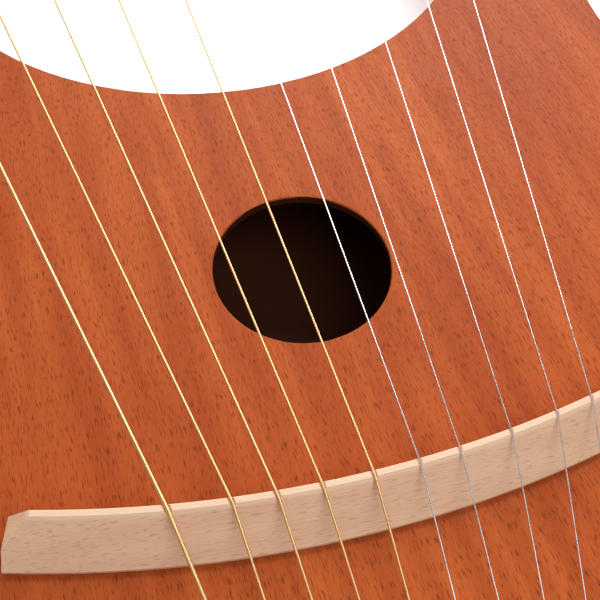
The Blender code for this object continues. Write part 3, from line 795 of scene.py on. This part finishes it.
@dataclass(frozen=True)
class StringSet:
    """The strings on the routes of the solids, with the beads and tips at their ends."""

    lines: tuple[StringLine, ...]

    # Levels of the strings and of the soundboard's top
    level: float = 0.041
    body_top: float = 0.033

    # Bridge
    arc_x: float = -0.0025
    arc_radius: float = 0.2385
    crown_y: float = -0.0528
    crown_width: float = 0.0012

    # Holes in the tail
    entry_first_x: float = -0.0295
    entry_pitch: float = 0.0073
    entry_offset: float = 0.0357
    entry_lift: float = 0.0006
    entry_slope: float = 30.0
    entry_run: float = 0.0165

    # Nut, and the row of pins behind it
    nut_y: float = 0.182
    nut_tilt: float = -9.6
    nut_drop: float = 0.0022
    pin_row: float = 0.018
    pin_radius: float = 0.0025
    clearance: float = 0.0003

    # Turns on the pins: the solid winding is drawn with fewer points
    turns: float = 2.75
    turn_gap: float = 0.00065
    turn_points: int = 28
    solid_turn_points: int = 12

    # Wire, bead ends and tips
    wire_sides: int = 14
    corner_reach: float = 0.0009
    bead_radius: float = 0.0018
    bead_segments: int = 20
    bead_rings: int = 12
    bead_stretch: float = 1.05
    bead_flat: float = 0.92
    tip_length: float = 0.0001
    tip_radius_limit: float = 0.00036
    tip_corner_reach: float = 0.0003
    tip_sides: int = 12

    def on_arc(self, x: float, radius: float, level: float) -> Vector:
        """Point at this x on an arc about the bridge's centre."""
        centre_y = self.crown_y + self.arc_radius
        return Vector((x, centre_y - math.sqrt(radius**2 - (x - self.arc_x) ** 2), level))

    def stations(self, line: StringLine) -> Stations:
        """Works out where a string sits in the tail and where it passes the board and bridge.

        Args:
            line: the string.

        Returns:
            Its stations up to the nut.
        """
        radius = self.arc_radius + self.crown_width
        entry_x = self.entry_first_x + self.entry_pitch * (line.number - 1)
        crown = self.on_arc(line.bridge_x, radius, self.level)
        entry = self.on_arc(entry_x, radius + self.entry_offset, self.body_top + self.entry_lift)
        nut = Vector((0.0, self.nut_y, self.level)) + heading(self.nut_tilt) * line.nut_place
        tailward = Vector((entry.x - crown.x, entry.y - crown.y, 0.0)).normalized()
        slope = math.radians(self.entry_slope)
        drill = tailward * math.cos(slope) - Vector((0.0, 0.0, math.sin(slope)))
        return Stations(entry + drill * self.entry_run, entry, crown, nut, drill)

    def winding(self, line: StringLine, crown: Vector, nut: Vector) -> Winding:
        """Works out the turns of a string round its pin.

        Args:
            line: the string.
            crown: where it crosses the bridge.
            nut: where it crosses the nut.

        Returns:
            The winding.
        """
        way = (nut - crown).normalized()
        normal = heading(self.nut_tilt + 90.0)
        touch = nut + way * (self.pin_row / way.dot(normal))
        left = Vector((-way.y, way.x, 0.0))
        bare = self.pin_radius + self.clearance + line.gauge / 2
        solid_radius = bare / math.cos(math.pi / self.solid_turn_points)
        radius = bare / math.cos(math.pi / self.turn_points)
        axis = Vector((touch.x, touch.y, self.level - self.nut_drop)) + left * solid_radius
        first = math.degrees(math.atan2(-left.y, -left.x))
        sweep = 360.0 * self.turns
        rise = (line.gauge + self.turn_gap) * self.turns
        count = round(self.turns * self.turn_points)
        points = [
            axis
            + heading(first + sweep * step / count) * radius
            + Vector((0.0, 0.0, rise * step / count))
            for step in range(count + 1)
        ]
        return Winding(points, axis + Vector((0.0, 0.0, rise)), first + sweep)

    def wires(self) -> dict[Slot, bpy.types.Material]:
        """Makes the wire finishes.

        Returns:
            The materials by slot.
        """
        bronze = WireFinish(
            "bronze_winding",
            colour=(1.0, 0.64, 0.30, 1.0),
            dark=(0.58, 0.32, 0.12, 1.0),
            roughness=0.3,
            winding_pitch=0.22,
        )
        steel = WireFinish(
            "plain_steel",
            colour=(0.90, 0.90, 0.90, 1.0),
            dark=(0.66, 0.66, 0.67, 1.0),
            roughness=0.22,
        )
        return {Slot.BRONZE: bronze.material(), Slot.STEEL: steel.material()}

    def brass(self) -> bpy.types.Material:
        """Makes the beads' finish.

        Returns:
            The material.
        """
        finish = WireFinish(
            "bead_brass",
            colour=(0.86, 0.62, 0.28, 1.0),
            dark=(0.6, 0.4, 0.16, 1.0),
            roughness=0.3,
        )
        return finish.material()

    def bead(self, name: str, seat: Vector, drill: Vector) -> bpy.types.Object:
        """Builds the bead that holds a string in the tail, flattened at both ends.

        Args:
            name: the piece's name.
            seat: where the bead rests.
            drill: the way down the tail hole.

        Returns:
            The new object.
        """
        work = bmesh.new()
        bmesh.ops.create_uvsphere(
            work,
            u_segments=self.bead_segments,
            v_segments=self.bead_rings,
            radius=self.bead_radius,
        )
        reach = self.bead_radius * self.bead_flat
        for vert in work.verts:
            vert.co.z = max(-reach, min(reach, vert.co.z * self.bead_stretch))
        middle = seat + drill * (self.bead_radius + self.clearance)
        turn = drill.to_track_quat("Z", "Y").to_matrix().to_4x4()
        bmesh.ops.transform(work, matrix=Matrix.Translation(middle) @ turn, verts=work.verts)
        made = placed(name, work)
        made.data.shade_smooth()
        return made

    def tip(self, name: str, line: StringLine, winding: Winding) -> bpy.types.Object:
        """Builds the short end of a string that passes through its pin's eye.

        Args:
            name: the piece's name.
            line: the string.
            winding: its turns on the pin.

        Returns:
            The new object.
        """
        across = heading(winding.eye_angle) * (self.pin_radius + self.tip_length)
        corners = [winding.eye + across, winding.eye, winding.eye - across]
        radius = min(line.gauge / 2, self.tip_radius_limit)
        return tube(name, eased(corners, self.tip_corner_reach), radius, self.tip_sides)

    def wire(self, name: str, line: StringLine, at: Stations, winding: Winding) -> bpy.types.Object:
        """Builds a string from its seat in the tail to the end of its turns.

        Args:
            name: the piece's name.
            line: the string.
            at: its stations.
            winding: its turns on the pin.

        Returns:
            The new object.
        """
        corners = [at.seat, at.entry, at.crown, at.nut, winding.points[0]]
        route = eased(corners, self.corner_reach)[:-1] + winding.points
        return tube(name, route, line.gauge / 2, self.wire_sides)

    def build(self) -> None:
        """Builds every string with its bead and its tip, and sets what each rides on."""
        wires = self.wires()
        brass = self.brass()
        for line in self.lines:
            label = f"{line.number:02d}"
            at = self.stations(line)
            winding = self.winding(line, at.crown, at.nut)
            string = self.wire(f"wire_{label}", line, at, winding)
            bead = self.bead(f"bead_{label}", at.seat, at.drill)
            tip = self.tip(f"tip_{label}", line, winding)
            string.data.materials.append(wires[line.slot])
            bead.data.materials.append(brass)
            tip.data.materials.append(wires[line.slot])
            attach(string, FRAME_BODY)
            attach(bead, FRAME_BODY)
            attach(tip, f"pin_{label}")
            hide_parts(f"string_{label}")
            for piece in (string, bead, tip):
                LOG.info("%s: %.2f mm string, %s", piece.name, line.gauge / MM, line.slot.value)


@dataclass(frozen=True)
class Lamp:
    """A soft square lamp: where it hangs, where it points, its width and its power in watts."""

    name: str
    place: Point
    target: Point
    width: float
    power: float

    def build(self) -> None:
        """Hangs the lamp and turns it to its target."""
        data = bpy.data.lights.new(self.name, "AREA")
        data.size = self.width
        data.energy = self.power
        made = bpy.data.objects.new(self.name, data)
        way = Vector(self.target) - Vector(self.place)
        turn = way.to_track_quat("-Z", "Y").to_matrix().to_4x4()
        made.matrix_world = Matrix.Translation(self.place) @ turn
        bpy.context.scene.collection.objects.link(made)


@dataclass(frozen=True)
class Studio:
    """Camera, soft lamps and pale surroundings. The camera's lens and sensor are in millimetres."""

    heading: float = -16.0
    tilt: float = 33.395
    roll: float = 2.159
    place: Point = (-0.03018, -0.10453, 0.184)
    lens: float = 50.0
    sensor: float = 36.0
    nearest: float = 0.005
    sky: float = 0.34
    lamps: tuple[Lamp, ...] = (
        Lamp("key", (0.4, 0.95, 0.80), (0.0, 0.05, 0.03), 1.0, 23.0),
        Lamp("fill", (0.3, -0.6, 0.9), (0.0, 0.0, 0.03), 0.8, 6.0),
    )

    def camera(self) -> None:
        """Places the camera over the tail, looking up the strings past the sound hole."""
        data = bpy.data.cameras.new("camera")
        data.lens = self.lens
        data.sensor_width = self.sensor
        data.clip_start = self.nearest
        made = bpy.data.objects.new("camera", data)
        made.matrix_world = (
            Matrix.Translation(self.place)
            @ Matrix.Rotation(math.radians(self.heading), 4, "Z")
            @ Matrix.Rotation(math.radians(self.tilt), 4, "X")
            @ Matrix.Rotation(math.radians(self.roll), 4, "Z")
        )
        bpy.context.scene.collection.objects.link(made)
        bpy.context.scene.camera = made

    def build(self) -> None:
        """Builds the studio."""
        world = bpy.data.worlds.new("studio")
        world.use_nodes = True
        sky = world.node_tree.nodes["Background"]
        sky.inputs["Color"].default_value = WHITE
        sky.inputs["Strength"].default_value = self.sky
        bpy.context.scene.world = world
        bpy.context.scene.view_settings.view_transform = "Standard"
        for lamp in self.lamps:
            lamp.build()
        self.camera()


def string_lines() -> tuple[StringLine, ...]:
    """Lists the ten strings from bass to treble: gauge, place across the bridge, along the nut.

    Returns:
        The strings with their numbers and slots.
    """
    bass = (
        (0.00080, -0.0376, -0.1070),
        (0.00058, -0.0263, -0.0837),
        (0.00058, -0.0182, -0.0625),
        (0.00052, -0.0099, -0.0403),
        (0.00052, -0.0003, -0.0175),
    )
    treble = (
        (0.00034, 0.0085, 0.0051),
        (0.00030, 0.0165, 0.0260),
        (0.00029, 0.0271, 0.0479),
        (0.00028, 0.0370, 0.0668),
        (0.00027, 0.0448, 0.0838),
    )
    slots = [Slot.BRONZE] * len(bass) + [Slot.STEEL] * len(treble)
    rows = zip(bass + treble, slots)
    return tuple(StringLine(n, *row, slot) for n, (row, slot) in enumerate(rows, start=1))


def main() -> None:
    """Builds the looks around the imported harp."""
    logging.basicConfig(level=logging.INFO, format="%(name)s: %(message)s")
    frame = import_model()
    Studio().build()
    StudioFloor().build()
    Soundbox().dress(frame["nodes"])
    PinRow().dress(frame["nodes"])
    StringSet(string_lines()).build()
    bpy.context.view_layer.update()


if __name__ == "__main__":
    main()
